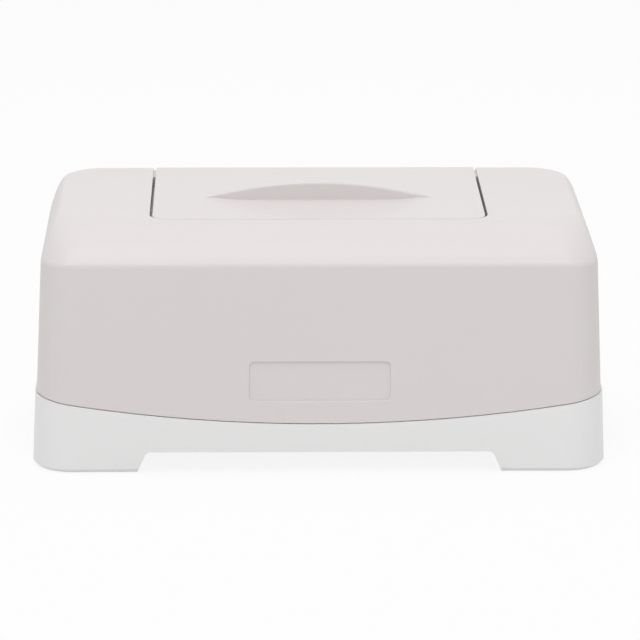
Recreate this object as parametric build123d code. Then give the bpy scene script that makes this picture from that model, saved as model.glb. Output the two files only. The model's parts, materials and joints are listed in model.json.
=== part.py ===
"""Baby wipes box: a white tray on four feet, a pale lift-off hood and a hinged flap.

Millimetres, +Z up, front towards -Y, origin on the floor under the middle of the box.
"""
import os
from math import asin, atan2, cos, degrees, sin, sqrt

from build123d import *

# Overall size of the box
WIDTH = 250.0
DEPTH = 134.0
HEIGHT = 106.7
PAD_STAND = 0.5

# Plan corners of the box outline; an outline inset from it has them smaller by the inset
FRONT_CORNER = 17.7
BACK_CORNER = 24.7

# Tray: outer wall leans in from the floor to the hood
TRAY_TOP = 38.0
TRAY_LEAN = 1.4
TRAY_EDGE_HIGH = 33.0
TRAY_FLOOR_UNDER = 8.8
TRAY_FLOOR_TOP = 11.0
TRAY_BOTTOM_CHAMFER = 1.7

# Curved joint line between tray and hood, lowest in the middle of the front
JOINT_LOW = 21.9
JOINT_HIGH = 33.0
JOINT_HALF_SPAN = 123.5
JOINT_GAP = 0.35

# Gaps between the feet
FOOT_GAP_HALF_FLOOR = 78.5
FOOT_GAP_HALF_TOP = 73.4
FOOT_GAP_ROUND = 3.0
SIDE_GAP_HALF_FLOOR = 34.0
SIDE_GAP_HALF_TOP = 29.0
FOOT_WALL = 2.4
FOOT_POCKET_ROOF = 0.4

# Hood: insets of its outer wall from the box outline at the joint and at the crease
HOOD_WALL = 2.2
HOOD_LOW = 18.0
HOOD_LOW_INSET = 1.4
CREASE_HIGH = 91.8
CREASE_INSET = 4.7

# Crown from the crease to the flat top: wide at the front, narrow at the sides and back
BULLNOSE_RUN = 25.0
SIDE_CROWN_RUN = 7.9
BACK_CROWN_RUN = 4.0
CROWN_CORNER_GROWTH = 5.0
OUTER_CROWN_STEPS = 7
INNER_CROWN_STEPS = 3

# Flap and the recess that it closes
FLAP_HALF_WIDTH = 72.3
SLOT_WIDTH = 1.4
FLAP_FRONT = -38.3
FLAP_FRONT_GAP = 0.35
FLAP_CORNER = 7.0
RECESS_CORNER = 8.2
FLAP_THICK = 2.3
SHELF_TOP = 101.0
SHELF_THICK = 2.2
HINGE_Y = 58.7
HINGE_RADIUS = 3.6
HINGE_CLEAR = 0.4
TROUGH_WALL = 2.0
PIN_RADIUS = 1.2
PIN_BORE_CLEAR = 0.05
PIN_LENGTH = 14.0
CHEEK_LENGTH = 9.0
SLOT_END_Y = 46.0
SLOT_END_DEPTH = 1.3
SLOT_END_GAP = 0.3

# Mouth in the shelf under the flap
MOUTH_HALF_X = 58.0
MOUTH_FRONT = -31.0
MOUTH_BACK = 42.0
MOUTH_RADIUS = 14.0
SEAL_WIDTH = 2.4
SEAL_MARGIN = 2.5
SEAL_GAP = 0.3

# Raised arch handle on the flap
ARCH_HALF_CHORD = 50.5
ARCH_RISE = 7.1
ARCH_FRONT_Y = 1.8
ARCH_RUN = 24.0
ARCH_EDGE_ROUND = 1.2
ARCH_WALL = 2.0
ARCH_STRIP = 0.9

# Shallow round dish for the fingers in front of the arch
DISH_RADIUS = 1160.0
DISH_DEPTH = 1.0
DISH_Y = 7.0
DISH_REACH = 50.0

# Blank panel sunk into the front of the hood
PANEL_HALF_WIDTH = 30.5
PANEL_LOW = 32.2
PANEL_HIGH = 49.7
PANEL_SINK = 0.8
PANEL_RADIUS = 2.2

# Register rim of the tray inside the hood, and the seal round it
RIM_CLEAR = 0.55
RIM_WALL = 2.0
HOOD_SEAL_LOW = 34.4
HOOD_SEAL_HIGH = 36.4
HOOD_SEAL_SINK = 0.9
HOOD_SEAL_PROUD = 0.2

# Press plate that lies on the wipes, with its two weights
PLATE_HALF_X = 103.0
PLATE_HALF_Y = 50.0
PLATE_RADIUS = 12.0
PLATE_THICK = 2.0
PLATE_RIM = 7.0
PLATE_LOW = 12.2
COLLAR_HIGH = 5.0
FENCE_HIGH = 4.5
PLATE_SLOT_HALF_X = 40.0
PLATE_SLOT_HALF_Y = 13.0
PLATE_SLOT_ROUND = 12.0
WEIGHT_HALF_X = 20.0
WEIGHT_HALF_Y = 30.0
WEIGHT_THICK = 3.0
WEIGHT_AT_X = 74.0
WEIGHT_WALL = 1.6
WEIGHT_CLEAR = 0.1

# Rubber pads under the feet
PAD_RADIUS = 8.0
PAD_THICK = 3.0
PAD_CLEAR = 0.05
PAD_INSET_X = 20.0
PAD_INSET_Y = 17.0
PAD_BOSS_WALL = 1.8

os.makedirs("parts", exist_ok=True)


def lean_inset(z):
    """Inset of the hood's outer wall from the box outline at height z."""
    share = (z - HOOD_LOW) / (CREASE_HIGH - HOOD_LOW)
    return HOOD_LOW_INSET + share * (CREASE_INSET - HOOD_LOW_INSET)


def rounded_plan(z, front, side, back, front_radius, back_radius):
    """Rounded rectangle at height z, inset from the box outline on each side."""
    half = WIDTH / 2 - side
    y_front, y_back = -DEPTH / 2 + front, DEPTH / 2 - back
    plan = Pos(0, (y_front + y_back) / 2, z) * Rectangle(2 * half, y_back - y_front)
    plan = fillet(plan.vertices().sort_by(Axis.Y)[:2], front_radius)
    return fillet(plan.vertices().sort_by(Axis.Y)[-2:], back_radius)


def even_plan(z, inset):
    """Box outline at height z, inset by the same amount all round."""
    return rounded_plan(z, inset, inset, inset, FRONT_CORNER - inset, BACK_CORNER - inset)


def leaning_block(z_low, z_high, inset_low, inset_high):
    """Block whose walls lean in evenly from one inset to another."""
    lean = degrees(atan2(inset_high - inset_low, z_high - z_low))
    return extrude(even_plan(z_low, inset_low), z_high - z_low, taper=lean)


def crown_plans(wall, drop, steps):
    """Outlines from the crease up to the flat top, which follow the round front."""
    rise = HEIGHT - CREASE_HIGH
    arc_radius = (BULLNOSE_RUN ** 2 + rise ** 2) / (2 * rise)
    arc_angle = asin(BULLNOSE_RUN / arc_radius)
    inset = CREASE_INSET + wall
    for step in range(steps + 1):
        share = step / steps
        left = arc_angle * (1 - share)
        z = CREASE_HIGH + (rise - drop) * (1 - arc_radius * (1 - cos(left)) / rise)
        yield rounded_plan(z, inset + BULLNOSE_RUN - arc_radius * sin(left),
                           inset + SIDE_CROWN_RUN * share, inset + BACK_CROWN_RUN * share,
                           FRONT_CORNER - inset + CROWN_CORNER_GROWTH * share,
                           BACK_CORNER - inset - BACK_CROWN_RUN * share)


def hood_block(wall, drop, steps):
    """Outer form of the hood, or its inside when wall and drop are its thicknesses."""
    body = leaning_block(HOOD_LOW, CREASE_HIGH, HOOD_LOW_INSET + wall, CREASE_INSET + wall)
    return body + loft(list(crown_plans(wall, drop, steps)), ruled=True)


def below_joint(offset):
    """Everything under the curved joint line, moved up by offset."""
    rise = JOINT_HIGH - JOINT_LOW
    radius = (JOINT_HALF_SPAN ** 2 + rise ** 2) / (2 * rise)
    low, reach, deep = JOINT_LOW + offset, WIDTH / 2 + 10, -HEIGHT
    high = low + radius - sqrt(radius ** 2 - reach ** 2)
    sides = Polyline((reach, high), (reach, deep), (-reach, deep), (-reach, high))
    bow = ThreePointArc((-reach, high), (0, low), (reach, high))
    return extrude(Plane.XZ * make_face(sides + bow), DEPTH, both=True)


def foot_gap(plane, half_floor, half_top, length):
    """Trapezoid gap with rounded upper corners that runs right under the tray."""
    shape = make_face(Polyline((-half_floor - 2, -2), (-half_top, TRAY_FLOOR_UNDER),
                               (half_top, TRAY_FLOOR_UNDER), (half_floor + 2, -2), close=True))
    shape = fillet(shape.vertices().sort_by(Axis.Y)[-2:], FOOT_GAP_ROUND)
    return extrude(plane * shape, length, both=True)


def pad_places():
    """Name and centre of each foot pad."""
    for end, y_sign in (("front", -1), ("back", 1)):
        for side, x_sign in (("left", -1), ("right", 1)):
            centre = (x_sign * (WIDTH / 2 - PAD_INSET_X), y_sign * (DEPTH / 2 - PAD_INSET_Y))
            yield f"foot_pad_{end}_{side}", centre


def rim_plan(z, inset):
    """Plan of the register rim, inset from the inside of the hood at the joint."""
    return even_plan(z, lean_inset(JOINT_HIGH) + HOOD_WALL + inset)


def rim_band(low, high, inset_out, inset_in):
    """Flat-ended band round the register rim."""
    return extrude(rim_plan(low, inset_out), high - low) - extrude(rim_plan(low, inset_in), high - low)


def foot_pocket(x_sign, y_sign):
    """Hollow inside one corner foot, open at the floor."""
    near_x, near_y = FOOT_GAP_HALF_FLOOR + FOOT_WALL, SIDE_GAP_HALF_FLOOR + FOOT_WALL
    corner = Pos(x_sign * (near_x + WIDTH) / 2, y_sign * (near_y + WIDTH) / 2, 0) * Box(
        WIDTH - near_x, WIDTH - near_y, 2 * (TRAY_FLOOR_UNDER - FOOT_POCKET_ROOF))
    hollow = leaning_block(-HEIGHT, TRAY_FLOOR_UNDER, FOOT_WALL, FOOT_WALL + TRAY_LEAN)
    return hollow & corner


def base_tray():
    """White tray with four corner feet, a register rim and sockets for the pads."""
    tray = leaning_block(PAD_STAND, TRAY_EDGE_HIGH, 0, TRAY_LEAN)
    tray = chamfer(tray.faces().sort_by(Axis.Z)[0].edges(), TRAY_BOTTOM_CHAMFER) & below_joint(0)
    tray -= foot_gap(Plane.XZ, FOOT_GAP_HALF_FLOOR, FOOT_GAP_HALF_TOP, DEPTH)
    tray -= foot_gap(Plane.YZ, SIDE_GAP_HALF_FLOOR, SIDE_GAP_HALF_TOP, WIDTH)
    tray += extrude(rim_plan(TRAY_FLOOR_UNDER, RIM_CLEAR), TRAY_TOP - TRAY_FLOOR_UNDER)
    tray -= extrude(rim_plan(TRAY_FLOOR_TOP, RIM_CLEAR + RIM_WALL), TRAY_TOP)
    tray -= rim_band(HOOD_SEAL_LOW, HOOD_SEAL_HIGH, RIM_CLEAR - 1, RIM_CLEAR + HOOD_SEAL_SINK)
    for x_sign in (-1, 1):
        for y_sign in (-1, 1):
            tray -= foot_pocket(x_sign, y_sign)
    for _, (x, y) in pad_places():
        tray += upright_disc(x, y, PAD_STAND, PAD_RADIUS + PAD_CLEAR + PAD_BOSS_WALL, TRAY_FLOOR_UNDER)
        tray -= upright_disc(x, y, 0, PAD_RADIUS + PAD_CLEAR, PAD_THICK)
    return tray


def upright_disc(x, y, low, radius, high):
    """Upright cylinder between two heights."""
    at_foot = (Align.CENTER, Align.CENTER, Align.MIN)
    return Pos(x, y, low) * Cylinder(radius, high - low, align=at_foot)


def hinge_bar(radius, half_length):
    """Cylinder along X on the flap's hinge line."""
    return Pos(0, HINGE_Y, HEIGHT - HINGE_RADIUS) * Rot(0, 90, 0) * Cylinder(radius, 2 * half_length)


def box_between(low, high):
    """Block from one corner to the other."""
    size = [b - a for a, b in zip(low, high)]
    return Pos(*low) * Box(*size, align=(Align.MIN, Align.MIN, Align.MIN))


def mouth_plan(z, grow):
    """Mouth opening in the shelf, grown on every side."""
    plan = Pos(0, (MOUTH_FRONT + MOUTH_BACK) / 2, z) * Rectangle(
        2 * (MOUTH_HALF_X + grow), MOUTH_BACK - MOUTH_FRONT + 2 * grow)
    return fillet(plan.vertices(), MOUTH_RADIUS + grow)


def flap_block(half, front, corner, low, high):
    """Block over the flap's place, with rounded front corners, from low to high."""
    block = box_between((-half, front, low), (half, HINGE_Y, high))
    return fillet(block.edges().filter_by(Axis.Z).sort_by(Axis.Y)[:2], corner)


def cover_hood(outer, inner):
    """Pale hood: drafted shell with the flap's recess, shelf, mouth and hinge trough."""
    hood = outer - inner - below_joint(JOINT_GAP)
    recess_half = FLAP_HALF_WIDTH + SLOT_WIDTH
    recess_front = FLAP_FRONT - FLAP_FRONT_GAP
    under = SHELF_TOP - SHELF_THICK
    pocket = box_between((-recess_half - HOOD_WALL, recess_front - HOOD_WALL, under),
                         (recess_half + HOOD_WALL, HINGE_Y, HEIGHT)) & outer
    trough = hinge_bar(HINGE_RADIUS + HINGE_CLEAR + TROUGH_WALL, recess_half + CHEEK_LENGTH) & outer
    hood = hood + pocket + trough
    hood -= flap_block(recess_half, recess_front, RECESS_CORNER, SHELF_TOP, HEIGHT + 1)
    hood -= hinge_bar(HINGE_RADIUS + HINGE_CLEAR, recess_half)
    hood -= box_between((-recess_half, HINGE_Y, HEIGHT - HINGE_RADIUS),
                        (recess_half, DEPTH / 2, HEIGHT + 1))
    for side in (-1, 1):
        hood += slot_end(side) & outer
    hood -= extrude(mouth_plan(under - 1, 0), SHELF_THICK + 2)
    hood -= hinge_bar(PIN_RADIUS + PIN_BORE_CLEAR, recess_half + PIN_LENGTH / 2)
    panel = make_face(Polyline((-PANEL_HALF_WIDTH, PANEL_LOW), (PANEL_HALF_WIDTH, PANEL_LOW),
                               (PANEL_HALF_WIDTH, PANEL_HIGH), (-PANEL_HALF_WIDTH, PANEL_HIGH),
                               close=True))
    panel = fillet(panel.vertices(), PANEL_RADIUS)
    tool = extrude(Plane.XZ * panel, DEPTH)
    return hood - (tool - leaning_block(HOOD_LOW, CREASE_HIGH, HOOD_LOW_INSET + PANEL_SINK,
                                        CREASE_INSET + PANEL_SINK))


def slot_end(side):
    """Step that closes the back of one slot, around the hinge pin."""
    near, far = FLAP_HALF_WIDTH + SLOT_END_GAP, FLAP_HALF_WIDTH + SLOT_WIDTH
    low, high = SHELF_TOP - SHELF_THICK, HEIGHT - SLOT_END_DEPTH
    return box_between((min(side * near, side * far), SLOT_END_Y, low),
                       (max(side * near, side * far), DEPTH / 2, high))


def arch(inset):
    """Raised eyebrow arch, or its hollow when inset is the wall thickness."""
    base_z = HEIGHT - FLAP_THICK
    half, rise = ARCH_HALF_CHORD - 4 * inset, ARCH_RISE - inset
    segment = make_face(ThreePointArc((-half, HEIGHT), (0, HEIGHT + rise), (half, HEIGHT))
                        + Polyline((half, HEIGHT), (half, base_z), (-half, base_z), (-half, HEIGHT)))
    front_y = ARCH_FRONT_Y + inset
    body = extrude(Plane.XZ.offset(-front_y) * segment, -(ARCH_RUN + FLAP_THICK))
    slope = make_face(Polyline((front_y, HEIGHT + rise + ARCH_STRIP), (front_y, base_z - 1),
                               (ARCH_FRONT_Y + ARCH_RUN + 4, base_z - 1),
                               (ARCH_FRONT_Y + ARCH_RUN - inset * 3, HEIGHT - inset), close=True))
    return body & extrude(Plane.YZ * slope, half + 5, both=True)


def finger_dish():
    """Shallow hollow in the flap's skin in front of the arch."""
    ball = Pos(0, DISH_Y, HEIGHT - DISH_DEPTH + DISH_RADIUS) * Sphere(DISH_RADIUS)
    return ball & box_between((-DISH_REACH, DISH_Y - DISH_REACH, HEIGHT - FLAP_THICK),
                              (DISH_REACH, ARCH_FRONT_Y, HEIGHT + 1))


def flap_lid(outer):
    """Hinged flap: skin that continues the hood's top, arch handle and hinge barrel."""
    under = HEIGHT - FLAP_THICK
    plate = flap_block(FLAP_HALF_WIDTH, FLAP_FRONT, FLAP_CORNER, under, HEIGHT) & outer
    plate -= finger_dish()
    handle = arch(0)
    crest = handle.edges().filter_by(GeomType.CIRCLE).sort_by(Axis.Y)[0]
    lid = plate + hinge_bar(HINGE_RADIUS, FLAP_HALF_WIDTH) + fillet(crest, ARCH_EDGE_ROUND)
    lid -= arch(ARCH_WALL)
    lid -= hinge_bar(PIN_RADIUS + PIN_BORE_CLEAR, FLAP_HALF_WIDTH + 1)
    return lid


def lid_seal():
    """Soft ring under the flap that closes on the shelf round the mouth."""
    low, high = SHELF_TOP + SEAL_GAP, HEIGHT - FLAP_THICK
    ring = extrude(mouth_plan(low, SEAL_MARGIN + SEAL_WIDTH), high - low)
    return ring - extrude(mouth_plan(low, SEAL_MARGIN), high - low)


def hood_seal():
    """Soft band in the groove round the tray's rim."""
    return rim_band(HOOD_SEAL_LOW, HOOD_SEAL_HIGH, RIM_CLEAR - HOOD_SEAL_PROUD,
                    RIM_CLEAR + HOOD_SEAL_SINK)


def hinge_pin(side):
    """Steel pin that runs from the hood's cheek into the flap's barrel."""
    centre = side * (FLAP_HALF_WIDTH + SLOT_WIDTH / 2)
    return Pos(centre, HINGE_Y, HEIGHT - HINGE_RADIUS) * Rot(0, 90, 0) * Cylinder(PIN_RADIUS, PIN_LENGTH)


def rounded_block(half_x, half_y, radius, low, tall):
    """Upright block with rounded corners."""
    plan = fillet(Rectangle(2 * half_x, 2 * half_y).vertices(), radius)
    return extrude(Pos(0, 0, low) * plan, tall)


def weight_block(side, grow, low, tall):
    """Upright block at one weight's place, grown on every side."""
    block = Box(2 * (WEIGHT_HALF_X + grow), 2 * (WEIGHT_HALF_Y + grow), tall)
    return Pos(side * WEIGHT_AT_X, 0, low + tall / 2) * block


def press_plate():
    """Weighted plate that lies on the wipes, with a rim and a slot to pull them through."""
    plate = rounded_block(PLATE_HALF_X, PLATE_HALF_Y, PLATE_RADIUS, PLATE_LOW, PLATE_RIM)
    plate -= rounded_block(PLATE_HALF_X - PLATE_THICK, PLATE_HALF_Y - PLATE_THICK,
                           PLATE_RADIUS - PLATE_THICK, PLATE_LOW + PLATE_THICK, PLATE_RIM)
    collar = rounded_block(PLATE_SLOT_HALF_X + PLATE_THICK, PLATE_SLOT_HALF_Y + PLATE_THICK,
                           PLATE_SLOT_ROUND + PLATE_THICK, PLATE_LOW, COLLAR_HIGH)
    slot = rounded_block(PLATE_SLOT_HALF_X, PLATE_SLOT_HALF_Y, PLATE_SLOT_ROUND,
                         PLATE_LOW - 1, PLATE_RIM + 2)
    plate = plate + collar - slot
    for side in (-1, 1):
        fence = weight_block(side, WEIGHT_CLEAR + WEIGHT_WALL, PLATE_LOW, FENCE_HIGH)
        plate = plate + fence - weight_block(side, WEIGHT_CLEAR, PLATE_LOW + PLATE_THICK, PLATE_RIM)
    return plate


def plate_weight(side):
    """Steel weight that sits in its nest on the press plate."""
    return weight_block(side, 0, PLATE_LOW + PLATE_THICK, WEIGHT_THICK)


def foot_pad(x, y):
    """Round rubber pad in its socket, a little below the foot."""
    return upright_disc(x, y, 0, PAD_RADIUS, PAD_THICK)


hood_outer = hood_block(0, 0, OUTER_CROWN_STEPS)
hood_inner = hood_block(HOOD_WALL, HOOD_WALL, INNER_CROWN_STEPS)

pieces = {
    "base_tray": base_tray(),
    "cover_hood": cover_hood(hood_outer, hood_inner),
    "flap_lid": flap_lid(hood_outer),
    "lid_seal": lid_seal(),
    "hood_seal": hood_seal(),
    "press_plate": press_plate(),
}
for side_name, side_sign in (("left", -1), ("right", 1)):
    pieces[f"hinge_pin_{side_name}"] = hinge_pin(side_sign)
    pieces[f"plate_weight_{side_name}"] = plate_weight(side_sign)
for pad_name, pad_centre in pad_places():
    pieces[pad_name] = foot_pad(*pad_centre)

for name, shape in pieces.items():
    export_step(shape, f"parts/{name}.step")
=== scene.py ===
"""Looks of the baby wipes box: finishes, soft moulded edges, a lofted flap and a plain studio."""
from __future__ import annotations

import json
import logging
import math
from dataclasses import dataclass, field
from enum import Enum
from typing import Any

import bmesh
import bpy
from mathutils import Matrix, Vector


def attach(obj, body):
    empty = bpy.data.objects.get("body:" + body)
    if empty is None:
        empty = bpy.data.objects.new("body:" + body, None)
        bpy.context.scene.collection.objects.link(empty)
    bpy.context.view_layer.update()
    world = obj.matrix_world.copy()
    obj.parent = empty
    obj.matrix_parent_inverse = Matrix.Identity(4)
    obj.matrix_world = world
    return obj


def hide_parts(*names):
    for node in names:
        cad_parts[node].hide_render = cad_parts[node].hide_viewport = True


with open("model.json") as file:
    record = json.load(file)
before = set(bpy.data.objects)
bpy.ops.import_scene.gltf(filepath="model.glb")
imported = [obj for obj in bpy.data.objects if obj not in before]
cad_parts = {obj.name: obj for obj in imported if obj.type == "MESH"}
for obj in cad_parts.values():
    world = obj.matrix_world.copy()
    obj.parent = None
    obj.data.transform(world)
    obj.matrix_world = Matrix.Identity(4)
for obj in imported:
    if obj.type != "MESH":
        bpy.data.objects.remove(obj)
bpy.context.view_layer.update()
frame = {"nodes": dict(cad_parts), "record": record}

MM = 0.001
NOISE_MEAN = 0.5
BOX_MIDDLE = Vector((0.0, 0.0, 0.05))
LOG = logging.getLogger("wipes_box")

Colour = tuple[float, float, float]
Point = tuple[float, float]


class Ink(Enum):
    """Linear colours of the box's materials."""

    HOOD = (0.733, 0.692, 0.686)
    TRAY = (0.833, 0.835, 0.831)
    PLATE = (0.820, 0.830, 0.835)
    SILICONE = (0.780, 0.780, 0.770)
    STEEL = (0.560, 0.565, 0.575)
    ZINC = (0.610, 0.615, 0.600)
    RUBBER = (0.330, 0.330, 0.335)
    FLOOR = (0.880, 0.880, 0.880)


class Sig:
    """One output socket that takes part in Python arithmetic."""

    def __init__(self, tree: "Tree", socket: bpy.types.NodeSocket) -> None:
        """Keeps the socket and the tree that it belongs to."""
        self.tree = tree
        self.socket = socket

    def _math(self, operation: str, *values: Any) -> "Sig":
        """Adds a Math node.

        Args:
            operation: Name of the Math node's operation.
            values: Numbers or signals for its sockets.

        Returns:
            The node's result.
        """
        settings = {"operation": operation}
        return self.tree.node("ShaderNodeMath", settings, dict(enumerate(values)))

    def __add__(self, other: "Sig | float") -> "Sig":
        """Sum."""
        return self._math("ADD", self, other)

    def __mul__(self, other: "Sig | float") -> "Sig":
        """Product."""
        return self._math("MULTIPLY", self, other)

    def __sub__(self, other: "Sig | float") -> "Sig":
        """Difference."""
        return self._math("SUBTRACT", self, other)

    def clamp(self) -> "Sig":
        """Value held between 0 and 1."""
        return self._math("MINIMUM", self._math("MAXIMUM", self, 0.0), 1.0)


class Tree:
    """Node tree of one material or world, built by calls."""

    def __init__(self, owner: bpy.types.Material | bpy.types.World) -> None:
        """Empties the owner's node tree.

        Args:
            owner: Material or world whose nodes are written.
        """
        owner.use_nodes = True
        self.tree = owner.node_tree
        self.tree.nodes.clear()

    def node(self, kind: str, settings: dict[str, Any] | None = None,
             values: dict[Any, Any] | None = None, out: int | str = 0) -> Sig:
        """Adds a node, sets it up and gives one of its outputs.

        Args:
            kind: Type of the node.
            settings: The node's own settings, which are set first.
            values: Socket names or numbers, with numbers, vectors or signals.
            out: Which output to give.

        Returns:
            That output as a signal.
        """
        made = self.tree.nodes.new(kind)
        for name, value in (settings or {}).items():
            setattr(made, name, value)
        for name, value in (values or {}).items():
            socket = made.inputs[name]
            if isinstance(value, Sig):
                self.tree.links.new(value.socket, socket)
            else:
                socket.default_value = value
        return Sig(self, made.outputs[out] if len(made.outputs) else None)

    def spots(self, scale: float, detail: float = 2.0, roughness: float = 0.5) -> Sig:
        """Noise in object space.

        Args:
            scale: Noise cells per metre.
            detail: Octaves.
            roughness: Strength of the finer octaves.

        Returns:
            Values round NOISE_MEAN.
        """
        place = self.node("ShaderNodeTexCoord", out="Object")
        values = {"Vector": place, "Scale": scale, "Detail": detail, "Roughness": roughness}
        return self.node("ShaderNodeTexNoise", None, values, "Fac")

    def blend(self, factor: Sig, low: Colour, high: Colour) -> Sig:
        """Mixes two colours by a signal.

        Args:
            factor: 0 gives low and 1 gives high.
            low: First colour.
            high: Second colour.

        Returns:
            The mixed colour.
        """
        return self.node("ShaderNodeMix", {"data_type": "RGBA"},
                         {0: factor, 6: (*low, 1.0), 7: (*high, 1.0)}, 2)


def shade(colour: Colour, factor: float) -> Colour:
    """Colour made lighter or darker by a factor."""
    return tuple(min(channel * factor, 1.0) for channel in colour)


@dataclass(frozen=True)
class Finish:
    """Moulded or drawn surface with uneven colour, gloss and a fine relief."""

    name: str
    ink: Ink
    gloss: float = 0.42
    gloss_spread: float = 0.10
    tint_spread: float = 0.012
    grain_per_metre: float = 1900.0
    grain_depth: float = 0.000012
    ripple_per_metre: float = 45.0
    ripple_depth: float = 0.000030
    cloud_per_metre: float = 9.0
    speck_per_metre: float = 700.0
    speck_share: float = 0.3
    tone_gain: float = 1.6
    wear_per_metre: float = 28.0
    metallic: float = 0.0

    def material(self) -> bpy.types.Material:
        """Builds the material.

        Returns:
            The new material.
        """
        made = bpy.data.materials.new(self.name)
        tree = Tree(made)
        cloud = tree.spots(self.cloud_per_metre, detail=3.0)
        speck = tree.spots(self.speck_per_metre)
        mixed = cloud * (1.0 - self.speck_share) + speck * self.speck_share
        tone = (mixed - NOISE_MEAN) * self.tone_gain + NOISE_MEAN
        low = shade(self.ink.value, 1.0 - self.tint_spread)
        high = shade(self.ink.value, 1.0 + self.tint_spread)
        wear = tree.spots(self.wear_per_metre, detail=5.0, roughness=0.6)
        shader = tree.node("ShaderNodeBsdfPrincipled", None, {
            "Base Color": tree.blend(tone.clamp(), low, high),
            "Roughness": (wear - NOISE_MEAN) * self.gloss_spread + self.gloss,
            "Metallic": self.metallic,
            "Normal": self.relief(tree),
        })
        tree.node("ShaderNodeOutputMaterial", None, {"Surface": shader})
        return made

    def relief(self, tree: Tree) -> Sig:
        """Normal with the mould's slow ripple and its fine grain.

        Args:
            tree: Tree that the nodes are added to.

        Returns:
            The disturbed normal.
        """
        ripple = tree.node("ShaderNodeBump", None, {
            "Strength": 1.0, "Distance": self.ripple_depth,
            "Height": tree.spots(self.ripple_per_metre, detail=1.0)})
        return tree.node("ShaderNodeBump", None, {
            "Strength": 1.0, "Distance": self.grain_depth,
            "Height": tree.spots(self.grain_per_metre, detail=3.0), "Normal": ripple})


@dataclass(frozen=True)
class DrawnSteel(Finish):
    """Bright metal with drawing lines along one axis."""

    line_stretch: tuple[float, float, float] = (0.05, 1.0, 1.0)
    lines_per_metre: float = 4000.0

    def relief(self, tree: Tree) -> Sig:
        """Normal with fine lines along the drawing direction.

        Args:
            tree: Tree that the nodes are added to.

        Returns:
            The disturbed normal.
        """
        place = tree.node("ShaderNodeTexCoord", out="Object")
        along = tree.node("ShaderNodeVectorMath", {"operation": "MULTIPLY"},
                          {0: place, 1: self.line_stretch})
        lines = tree.node("ShaderNodeTexNoise", None, {
            "Vector": along, "Scale": self.lines_per_metre, "Detail": 3.0}, "Fac")
        return tree.node("ShaderNodeBump", None, {
            "Strength": 0.6, "Distance": self.grain_depth, "Height": lines})


def put_finish(obj: bpy.types.Object, material: bpy.types.Material) -> None:
    """Gives an object one material.

    Args:
        obj: Object to dress.
        material: Its new material.
    """
    obj.data.materials.clear()
    obj.data.materials.append(material)


@dataclass
class Shell:
    """CAD nodes of one material, carried over as they are."""

    nodes: tuple[str, ...]
    finish: Finish

    def build(self) -> None:
        """Dresses each node."""
        material = self.finish.material()
        for name in self.nodes:
            put_finish(frame["nodes"][name], material)
            LOG.info("%s dressed as %s", name, self.finish.name)


def body_of_node(node: str) -> str:
    """Finds the body that carries a CAD node.

    Args:
        node: Name of the node.

    Returns:
        Name of its body.
    """
    bodies = frame["record"]["behaviour"]["bodies"]
    return next(name for name, nodes in bodies.items() if node in nodes)


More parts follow.
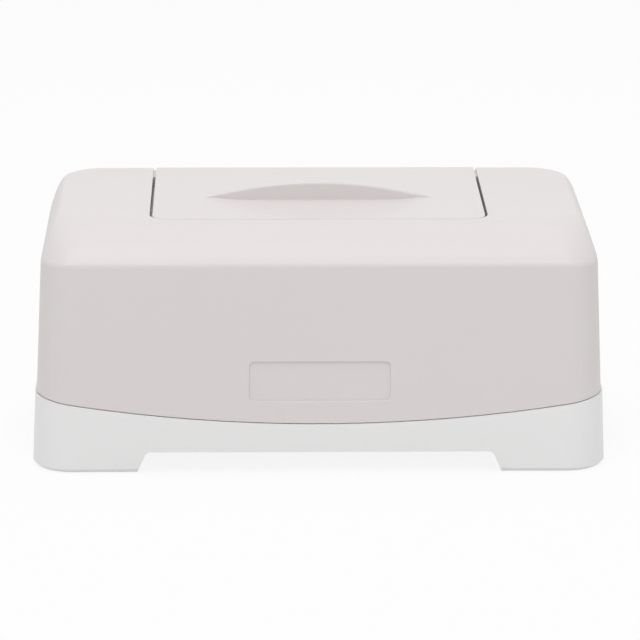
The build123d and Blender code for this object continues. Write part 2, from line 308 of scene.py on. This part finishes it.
@dataclass
class MouldedShell:
    """Moulded node with rounded edges and evenly shaded faces in place of flat bands.

    The crease and the sunk panel are rounded on their own where crease_high is given.
    """

    node: str
    finish: Finish
    slot: str
    edge_round: float = 0.35 * MM
    edge_steps: int = 2
    crease_high: float = 0.0
    crease_round: float = 1.1 * MM
    crease_steps: int = 3
    crease_reach: float = 0.02 * MM
    panel_half: float = 0.0
    panel_low: float = 31.0 * MM
    panel_high: float = 51.0 * MM
    panel_round: float = 0.5 * MM
    front_y: float = -60.0 * MM
    weld: float = 0.002 * MM
    flat_angle: float = math.radians(0.4)
    sharp_angle: float = math.radians(35.0)

    def build(self) -> bpy.types.Object:
        """Makes the softened shell and puts it in the node's place.

        Returns:
            The new piece.
        """
        mesh = self.soften(self.form())
        piece = bpy.data.objects.new(f"{self.node}_moulding", mesh)
        bpy.context.scene.collection.objects.link(piece)
        piece.modifiers.new("even_normals", "WEIGHTED_NORMAL").keep_sharp = True
        put_finish(piece, self.finish.material())
        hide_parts(self.node)
        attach(piece, body_of_node(self.node))
        LOG.info("%s moulded from %s", piece.name, self.node)
        return piece

    def form(self) -> bpy.types.Mesh:
        """Gives the mesh with sharp edges that the piece starts from."""
        return frame["nodes"][self.node].data

    def soften(self, source: bpy.types.Mesh) -> bpy.types.Mesh:
        """Copies a mesh with its flats joined and its sharp edges rounded.

        Args:
            source: Mesh with sharp edges.

        Returns:
            The rounded mesh.
        """
        work = bmesh.new()
        work.from_mesh(source)
        bmesh.ops.remove_doubles(work, verts=work.verts, dist=self.weld)
        bmesh.ops.dissolve_limit(work, angle_limit=self.flat_angle, verts=work.verts, edges=work.edges)
        if self.crease_high:
            self.round_edges(work, [edge for edge in work.edges if self.on_crease(edge)],
                             self.crease_round, self.crease_steps)
            self.round_edges(work, [edge for edge in work.edges if self.on_panel(edge)],
                             self.panel_round, self.crease_steps)
        sharp = [edge for edge in work.edges
                 if edge.is_manifold and edge.calc_face_angle() > self.sharp_angle]
        self.round_edges(work, sharp, self.edge_round, self.edge_steps)
        mesh = bpy.data.meshes.new(f"{self.node}_moulding")
        for face in work.faces:
            face.smooth = True
        work.to_mesh(mesh)
        work.free()
        return mesh

    def on_crease(self, edge: bmesh.types.BMEdge) -> bool:
        """Tells whether an edge lies on the outer crease round the shell."""
        near = all(abs(vert.co.z - self.crease_high) < self.crease_reach for vert in edge.verts)
        return near and edge.is_manifold and edge.is_convex

    def on_panel(self, edge: bmesh.types.BMEdge) -> bool:
        """Tells whether an edge is a sharp, convex one of the panel sunk into the front.

        Args:
            edge: Edge to judge.

        Returns:
            True for an edge of the panel's rim.
        """
        near = all(vert.co.y < self.front_y and abs(vert.co.x) < self.panel_half
                   and self.panel_low < vert.co.z < self.panel_high for vert in edge.verts)
        sharp = edge.is_manifold and edge.calc_face_angle() > self.sharp_angle
        return near and sharp and edge.is_convex

    @staticmethod
    def round_edges(work: bmesh.types.BMesh, edges: list[bmesh.types.BMEdge], width: float,
                    steps: int) -> None:
        """Rounds edges of a mesh.

        Args:
            work: Mesh to change.
            edges: Edges to round.
            width: Distance from the edge to where the rounding starts.
            steps: Faces across the rounding.
        """
        bmesh.ops.bevel(work, geom=edges, offset=width, offset_type="OFFSET", segments=steps,
                        profile=0.5, affect="EDGES", clamp_overlap=True)


@dataclass
class TrayMoulding(MouldedShell):
    """Tray whose gaps between the feet are a little taller, with steeper, rounder flanks.

    The gaps reach gap_half from the middle along X and Y, and gap_top is their height in the CAD.
    """

    gap_top: float = 8.8 * MM
    gap_rise: float = 0.9 * MM
    flank_shift: float = 1.6 * MM
    gap_half: tuple[float, float] = (80.0 * MM, 35.5 * MM)
    share_limit: float = 1.001
    flank_from: float = 0.6
    bulge_peak: float = 0.75

    def form(self) -> bpy.types.Mesh:
        """Copies the tray with its gaps between the feet widened upwards.

        Returns:
            The changed mesh.
        """
        mesh = frame["nodes"][self.node].data.copy()
        for vert in mesh.vertices:
            share = vert.co.z / self.gap_top
            if 0.0 < share < self.share_limit:
                for axis, half in enumerate(self.gap_half):
                    if self.flank_from * half < abs(vert.co[axis]) < half:
                        bulge = math.sin(math.pi * min(share, 1.0) / (2.0 * self.bulge_peak))
                        vert.co[axis] += math.copysign(self.flank_shift * bulge, vert.co[axis])
                if any(abs(vert.co[axis]) < half for axis, half in enumerate(self.gap_half)):
                    vert.co.z += self.gap_rise * share
        return mesh


@dataclass
class FlapMoulding(MouldedShell):
    """Flap lofted across its width: skin, finger dish, arched grip and hinge barrel.

    Its sizes are in millimetres, as in the source of the solids.
    """

    flat_angle: float = math.radians(0.01)
    top: float = 106.7
    skin: float = 2.3
    half_width: float = 72.45
    front: float = -38.6
    corner: float = 7.0
    hinge_y: float = 58.7
    barrel: float = 3.6
    arch_half: float = 50.5
    arch_rise: float = 7.09
    arch_front: float = 0.7
    arch_run: float = 26.0
    arch_wall: float = 2.0
    crest_round: float = 1.2
    dish_y: float = 7.0
    dish_radius: float = 44.9
    dish_depth: float = 1.0
    dish_edge: float = 8.0
    columns: int = 80
    corner_columns: int = 12
    skin_rows: int = 16
    crest_steps: int = 6
    slope_rows: int = 16
    barrel_steps: int = 28

    def form(self) -> bpy.types.Mesh:
        """Lofts the flap from one side to the other.

        Returns:
            Its closed mesh, in metres.
        """
        work = bmesh.new()
        loops = [[work.verts.new(Vector((x, y, z)) * MM) for y, z in self.section(x)]
                 for x in self.stations()]
        for near, far in zip(loops, loops[1:]):
            for index in range(len(near)):
                work.faces.new((near[index - 1], near[index], far[index], far[index - 1]))
        work.faces.new(loops[0])
        work.faces.new(reversed(loops[-1]))
        bmesh.ops.remove_doubles(work, verts=work.verts, dist=self.weld)
        bmesh.ops.dissolve_degenerate(work, dist=self.weld, edges=work.edges)
        bmesh.ops.recalc_face_normals(work, faces=work.faces)
        mesh = bpy.data.meshes.new("flap_form")
        work.to_mesh(mesh)
        work.free()
        return mesh

    def stations(self) -> list[float]:
        """Places across the width, closer together at the rounded corners.

        Returns:
            Places from left to right.
        """
        inner = self.half_width - self.corner
        middle = [inner * (2.0 * i / self.columns - 1.0) for i in range(self.columns + 1)]
        turn = [inner + self.corner * math.sin(math.pi / 2 * i / self.corner_columns)
                for i in range(1, self.corner_columns + 1)]
        return [-x for x in reversed(turn)] + middle + turn

    def height(self, x: float) -> float:
        """Height of the arch's crest above the skin."""
        return self.arch_rise * max(0.0, 1.0 - (x / self.arch_half) ** 2)

    def dish(self, x: float, y: float) -> float:
        """Depth of the finger dish."""
        reach = math.hypot(x, y - self.dish_y) / self.dish_radius
        return self.dish_depth * max(0.0, 1.0 - reach ** self.dish_edge)

    def slope(self, x: float, lift: float, start: float) -> list[Point]:
        """Points down the back of the arch or of its hollow.

        Args:
            x: Place across the width.
            lift: Height of the surface where the slope has ended.
            start: Where the slope starts.

        Returns:
            Points in the plane across the hinge.
        """
        crest = self.height(x)
        run = self.arch_run * math.sqrt(crest / self.arch_rise)
        shares = [row / self.slope_rows for row in range(self.slope_rows + 1)]
        return [(start + run * share, lift + crest * (1.0 + math.cos(math.pi * share)) / 2)
                for share in shares]

    def crest_turn(self, crest: float, edge: float) -> list[Point]:
        """Points round the front edge of the arch's crest.

        Args:
            crest: Height of the crest above the skin.
            edge: Radius of its rounded edge.

        Returns:
            Points in the plane across the hinge, from the front wall to the crest.
        """
        angles = [math.pi / 2 * step / self.crest_steps for step in range(self.crest_steps + 1)]
        return [(self.arch_front + edge * (1 - math.cos(angle)),
                 self.top + crest - edge * (1 - math.sin(angle))) for angle in angles]

    def barrel_turn(self, under: float) -> list[Point]:
        """Points round the hinge barrel.

        Args:
            under: Height of the skin's underside.

        Returns:
            Points in the plane across the hinge, from the barrel's top over its back to where
            its front meets the skin's underside.
        """
        meet = math.asin((under - self.top + self.barrel) / self.barrel)
        sweep = 1.5 * math.pi + meet
        angles = [math.pi / 2 - sweep * step / self.barrel_steps
                  for step in range(self.barrel_steps + 1)]
        return [(self.hinge_y + self.barrel * math.cos(angle),
                 self.top - self.barrel + self.barrel * math.sin(angle)) for angle in angles]

    def section(self, x: float) -> list[Point]:
        """Outline of the flap at one place across its width.

        Args:
            x: The place.

        Returns:
            Closed loop of points, with the same number at every place.
        """
        past = max(0.0, abs(x) - self.half_width + self.corner)
        front = self.front + self.corner - math.sqrt(self.corner ** 2 - min(past, self.corner) ** 2)
        under = self.top - self.skin
        crest = self.height(x)
        edge = min(self.crest_round, crest / 2)
        skin_ys = [front + (self.arch_front - front) * row / self.skin_rows
                   for row in range(self.skin_rows + 1)]
        hollow_front = self.arch_front + self.arch_wall
        return [
            (front, under),
            *((y, self.top - self.dish(x, y)) for y in skin_ys),
            *self.crest_turn(crest, edge),
            *self.slope(x, self.top, self.arch_front + edge)[1:],
            *self.barrel_turn(under),
            *reversed(self.slope(x, under, hollow_front)),
            (hollow_front, under),
        ]


@dataclass
class Studio:
    """Pale floor, white surround, soft lamps and the camera of the photograph."""

    camera_at: Vector = field(default_factory=lambda: Vector((-0.035, -1.660, 0.511)))
    pitch: float = math.radians(15.5)
    azimuth: float = math.radians(-1.254)
    roll: float = math.radians(0.20)
    lens_mm: float = 216.8
    sensor_mm: float = 36.0
    floor_half: float = 3.0
    surround_light: float = 0.59
    floor_glow: float = 0.88

    def build(self) -> None:
        """Builds the floor, the world, the lamps and the camera."""
        self.floor()
        self.surround()
        self.lamp("top_softbox", Vector((0.0, 0.15, 1.6)), size=1.8, power=6.6)
        self.lamp("front_softbox", Vector((-0.12, -1.15, 2.0)), size=1.2, power=15.0)
        self.camera()
        bpy.context.scene.view_settings.view_transform = "Standard"

    @staticmethod
    def white_seen(tree: Tree) -> Sig:
        """Finds the rays that should meet plain white.

        Args:
            tree: Tree that the nodes are added to.

        Returns:
            Signal that is 1 for camera, glossy and transmitted rays, and 0 for others.
        """
        camera = tree.node("ShaderNodeLightPath", out="Is Camera Ray")
        glossy = tree.node("ShaderNodeLightPath", out="Is Glossy Ray")
        through = tree.node("ShaderNodeLightPath", out="Is Transmission Ray")
        return (camera + glossy + through).clamp()

    def floor(self) -> None:
        """Large pale sheet under the box."""
        mesh = bpy.data.meshes.new("floor")
        half = self.floor_half
        corners = [(-half, -half, 0), (half, -half, 0), (half, half, 0), (-half, half, 0)]
        mesh.from_pydata(corners, [], [(0, 1, 2, 3)])
        floor = bpy.data.objects.new("floor", mesh)
        bpy.context.scene.collection.objects.link(floor)
        material = bpy.data.materials.new("floor_paper")
        tree = Tree(material)
        paper = tree.node("ShaderNodeBsdfDiffuse", None, {"Color": (*Ink.FLOOR.value, 1.0)})
        glow = tree.node("ShaderNodeEmission", None, {"Color": (1, 1, 1, 1), "Strength": 1.0})
        part = self.white_seen(tree) * self.floor_glow
        mixed = tree.node("ShaderNodeMixShader", None, {0: part, 1: paper, 2: glow})
        tree.node("ShaderNodeOutputMaterial", None, {"Surface": mixed})
        put_finish(floor, material)

    def surround(self) -> None:
        """White world that lights the box evenly."""
        world = bpy.data.worlds.new("surround")
        bpy.context.scene.world = world
        tree = Tree(world)
        level = self.white_seen(tree) * (1.0 - self.surround_light) + self.surround_light
        shader = tree.node("ShaderNodeBackground", None, {"Color": (1, 1, 1, 1), "Strength": level})
        tree.node("ShaderNodeOutputWorld", None, {"Surface": shader})

    @staticmethod
    def lamp(name: str, place: Vector, size: float, power: float) -> None:
        """Adds a square area lamp aimed at the box.

        Args:
            name: Name of the lamp.
            place: Where it hangs.
            size: Side of the square.
            power: Power in watts.
        """
        light = bpy.data.lights.new(name, "AREA")
        light.size = size
        light.energy = power
        lamp = bpy.data.objects.new(name, light)
        lamp.location = place
        aim = BOX_MIDDLE - place
        lamp.rotation_euler = aim.to_track_quat("-Z", "Y").to_euler()
        bpy.context.scene.collection.objects.link(lamp)

    def camera(self) -> None:
        """Places the camera that took the photograph."""
        data = bpy.data.cameras.new("photo_camera")
        data.lens = self.lens_mm
        data.sensor_width = self.sensor_mm
        data.clip_end = 20.0
        camera = bpy.data.objects.new("photo_camera", data)
        bpy.context.scene.collection.objects.link(camera)
        turn = (Matrix.Rotation(self.azimuth, 4, "Z")
                @ Matrix.Rotation(math.pi / 2 - self.pitch, 4, "X")
                @ Matrix.Rotation(self.roll, 4, "Z"))
        camera.matrix_world = Matrix.Translation(self.camera_at) @ turn
        bpy.context.scene.camera = camera


def main() -> None:
    """Builds every sub-assembly."""
    logging.basicConfig(level=logging.INFO, format="%(name)s: %(message)s")
    Studio().build()
    hood = Finish("hood_satin", Ink.HOOD)
    tray = Finish("tray_satin", Ink.TRAY, gloss=0.33)
    MouldedShell("cover_hood", hood, "hood_plastic", edge_round=0.25 * MM,
                 crease_high=91.8 * MM, panel_half=31.0 * MM).build()
    FlapMoulding("flap_lid", hood, "flap_plastic", edge_round=0.2 * MM).build()
    TrayMoulding("base_tray", tray, "tray_plastic", edge_round=0.45 * MM).build()
    Shell(("press_plate",), Finish("plate_satin", Ink.PLATE, gloss=0.35)).build()
    Shell(("lid_seal", "hood_seal"), Finish("seal_silicone", Ink.SILICONE, gloss=0.5)).build()
    Shell(("hinge_pin_left", "hinge_pin_right"),
          DrawnSteel("pin_steel", Ink.STEEL, gloss=0.25, metallic=1.0)).build()
    Shell(("plate_weight_left", "plate_weight_right"),
          DrawnSteel("weight_zinc", Ink.ZINC, gloss=0.32, metallic=1.0)).build()
    pads = tuple(name for name in frame["nodes"] if name.startswith("foot_pad"))
    Shell(pads, Finish("pad_rubber", Ink.RUBBER, gloss=0.7)).build()


if __name__ == "__main__":
    main()
